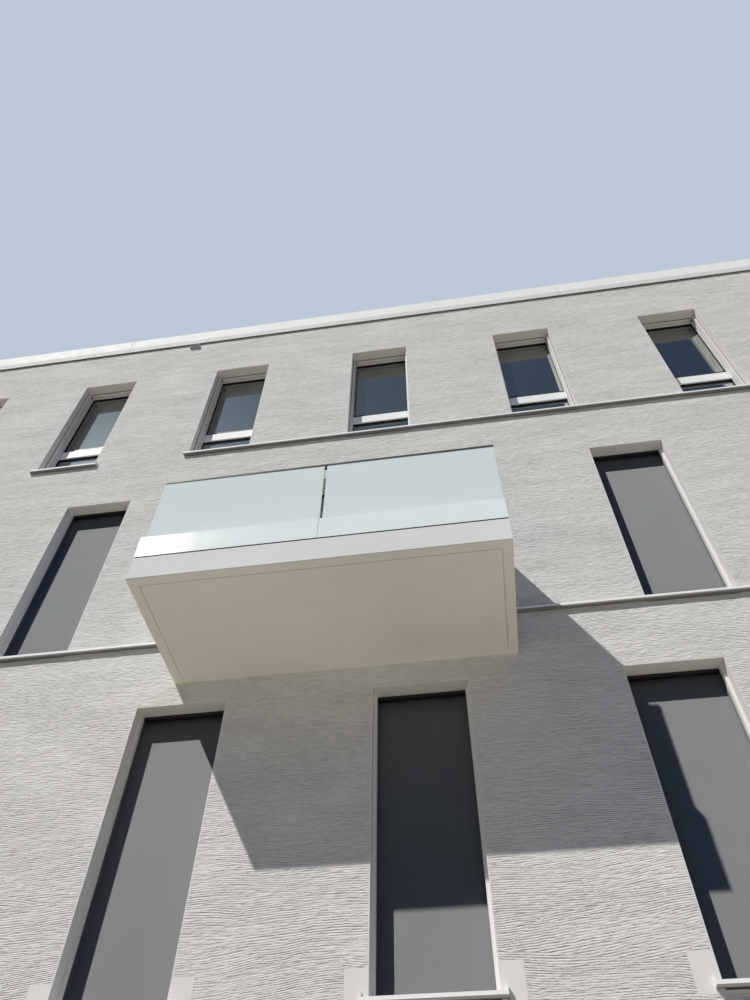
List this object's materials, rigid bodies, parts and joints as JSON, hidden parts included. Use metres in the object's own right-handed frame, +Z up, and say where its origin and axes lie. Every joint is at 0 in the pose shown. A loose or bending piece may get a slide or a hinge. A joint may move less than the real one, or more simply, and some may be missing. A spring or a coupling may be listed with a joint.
{
  "type": "apartment block",
  "caption": "Rendered apartment block with tall narrow windows in stepped rows, textile sun screens, a glass-fronted balcony and a flat roof with metal coping.",
  "frame": {"origin": "on the ground under the middle of the overall size, balcony and coping included", "axes": "+X to the right along the front as seen from outside, +Y from the front to the back, +Z up"},
  "size_m": [13, 11.297, 12.95],
  "materials": {
    "render": "combed matt plaster",
    "concrete": "fair-faced concrete",
    "balcony_render": "smooth matt plaster",
    "roof_membrane": "matt",
    "coping_metal": "satin white",
    "grey_metal": "satin grey",
    "sill_metal": "satin white",
    "frame_dark": "satin dark grey",
    "bar_white": "satin white",
    "frosted_glass": "frosted, pale green-blue",
    "window_glass": "clear, dark behind",
    "guide_metal": "satin light grey",
    "screen_cloth": "fine dark grey weave",
    "channel_metal": "satin white",
    "rail_metal": "satin"
  },
  "bodies": {
    "root": {"ground_slab": "concrete", "first_floor_slab": "concrete", "second_floor_slab": "concrete", "third_floor_slab": "concrete", "roof_slab": "concrete", "roof_covering": "roof_membrane", "left_party_wall": "render", "right_party_wall": "render", "front_wall_ground": "render", "front_wall_first": "render", "front_wall_second": "render", "front_wall_third": "render", "back_wall_ground": "render", "back_wall_first": "render", "back_wall_second": "render", "back_wall_third": "render", "parapet": "render", "coping_front": "coping_metal", "coping_back": "coping_metal", "coping_sides": "coping_metal", "overflow_spout": "grey_metal", "ground_sills": "sill_metal", "first_sills": "sill_metal", "second_sill_band": "sill_metal", "third_sill_course": "sill_metal", "back_sills": "sill_metal", "ground_window_frames": "frame_dark", "first_window_frames": "frame_dark", "second_window_frames": "frame_dark", "third_window_frames": "frame_dark", "back_window_frames": "frame_dark", "ground_window_glass": "window_glass", "first_window_glass": "window_glass", "second_window_glass": "window_glass", "third_window_glass": "window_glass", "back_window_glass": "window_glass", "guard_bars": "bar_white", "screen_guides": "guide_metal", "ground_screens": "screen_cloth", "first_screens": "screen_cloth", "second_screens": "screen_cloth", "balcony_slab": "balcony_render", "balcony_channel": "channel_metal", "balcony_front_glass": "frosted_glass", "balcony_side_glass": "frosted_glass", "balcony_rail": "rail_metal"}
  },
  "joints": []
}
